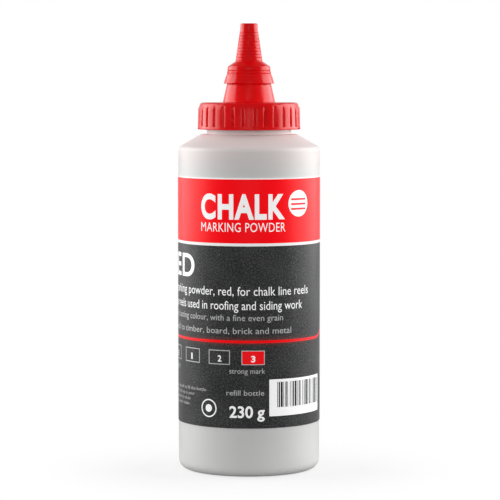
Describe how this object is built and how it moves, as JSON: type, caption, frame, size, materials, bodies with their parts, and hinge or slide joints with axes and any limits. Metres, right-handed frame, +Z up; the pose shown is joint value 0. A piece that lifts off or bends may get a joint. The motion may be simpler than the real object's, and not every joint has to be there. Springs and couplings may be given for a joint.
{
  "type": "chalk powder squeeze bottle",
  "caption": "Squeeze bottle of red marking chalk for filling a chalk line reel, with a wrap label, a ribbed screw cap and a ringed nozzle tip that pulls up to open.",
  "frame": {"origin": "middle of the base, on the surface that the bottle stands on", "axes": "+Z up along the bottle's own axis; the front of the label faces -Y; +X is to the right of someone reading the label"},
  "size_m": [0.057, 0.057, 0.1781],
  "materials": {
    "bottle_plastic": "satin opaque white polyethylene",
    "label_film": "glossy printed film",
    "chalk": "dry loose powder, dead matt",
    "liner_foam": "matt foamed polyethylene",
    "cap_plastic": "semi-gloss moulded polypropylene",
    "tip_plastic": "semi-gloss moulded polyethylene"
  },
  "bodies": {
    "filled_bottle": {"bottle": "bottle_plastic", "label": "label_film", "chalk_powder": "chalk"},
    "liner": {"cap_liner": "liner_foam"},
    "cap": {"spout_cap": "cap_plastic"},
    "tip": {"nozzle_tip": "tip_plastic"}
  },
  "joints": [
    {"name": "cap_lift", "type": "slide", "parent": "filled_bottle", "child": "liner", "axis": [0, 0, 1], "range_m": [0, 0.0085]},
    {"name": "cap_turn", "type": "hinge", "parent": "liner", "child": "cap", "pos_m": [0, 0, 0.14], "axis": [0, 0, 1], "range_deg": [0, 720]},
    {"name": "nozzle_pull", "type": "slide", "parent": "cap", "child": "tip", "axis": [0, 0, 1], "range_m": [0, 0.0035]}
  ],
  "couplings": [
    {"joint": "cap_lift", "follows": "cap_turn", "m_per_rad": 0.0006737}
  ]
}
